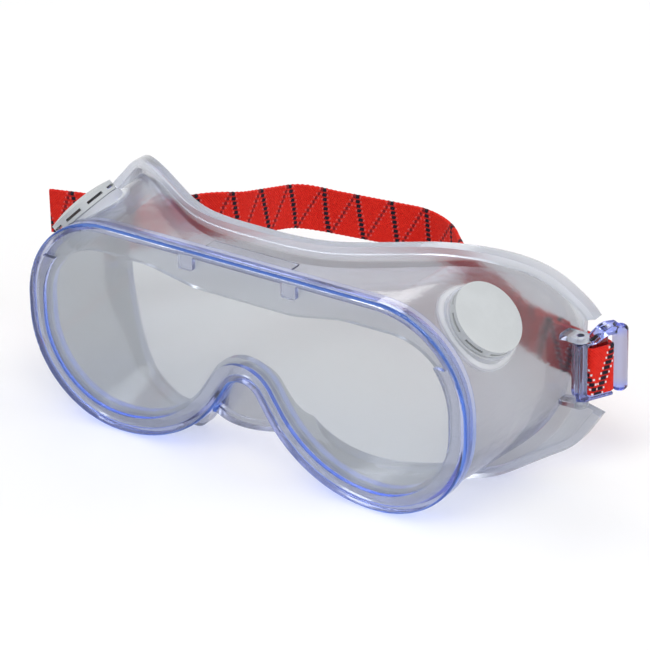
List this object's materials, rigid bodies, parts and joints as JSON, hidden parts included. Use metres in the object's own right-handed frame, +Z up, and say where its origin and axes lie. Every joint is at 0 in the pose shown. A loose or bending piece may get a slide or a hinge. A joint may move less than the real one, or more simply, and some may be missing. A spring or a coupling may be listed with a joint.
{
  "type": "safety goggles",
  "caption": "Splash goggles: soft see-through frame with a flat lens, round slotted vent caps on the upper corners, clear strap buckles at the temples and a woven elastic head strap.",
  "frame": {"origin": "on the front face of the rim, at its bridge over the nose, on the plane of symmetry", "axes": "+X to the wearer's left, -Y forward out of the lens, +Z up"},
  "size_m": [0.2016, 0.131, 0.0707],
  "materials": {
    "frame_pvc": "soft see-through vinyl, frosted walls, glossy rim",
    "lens_clear": "clear polycarbonate sheet",
    "vent_cap": "satin white moulding",
    "vent_inner": "white moulding",
    "buckle_clear": "clear moulding with a faint blue tint",
    "strap_elastic": "woven elastic, red with a black zigzag"
  },
  "bodies": {
    "frame": {"goggle_frame": "frame_pvc", "lens": "lens_clear", "vent_base_left": "vent_inner", "vent_base_right": "vent_inner", "vent_lock_ring_left": "vent_inner", "vent_lock_ring_right": "vent_inner", "head_strap": "strap_elastic"},
    "cap_left": {"vent_cap_left": "vent_cap"},
    "cap_right": {"vent_cap_right": "vent_cap"},
    "buckle_left": {"strap_buckle_left": "buckle_clear"},
    "buckle_right": {"strap_buckle_right": "buckle_clear"}
  },
  "joints": [
    {"name": "vent_cap_turn_left", "type": "hinge", "parent": "frame", "child": "cap_left", "pos_m": [0.0669, 0.0205, 0.0199], "axis": [0.6998, -0.08, 0.7098], "continuous": true},
    {"name": "vent_cap_turn_right", "type": "hinge", "parent": "frame", "child": "cap_right", "pos_m": [-0.0669, 0.0205, 0.0199], "axis": [-0.6998, -0.08, 0.7098], "continuous": true},
    {"name": "buckle_swing_left", "type": "hinge", "parent": "frame", "child": "buckle_left", "pos_m": [0.0823, 0.0478, -0.001], "axis": [0, 0, -1], "range_deg": [-4, 30], "deforming": ["head_strap"]},
    {"name": "buckle_swing_right", "type": "hinge", "parent": "frame", "child": "buckle_right", "pos_m": [-0.0823, 0.0478, -0.001], "axis": [0, 0, 1], "range_deg": [-4, 30], "deforming": ["head_strap"]}
  ]
}
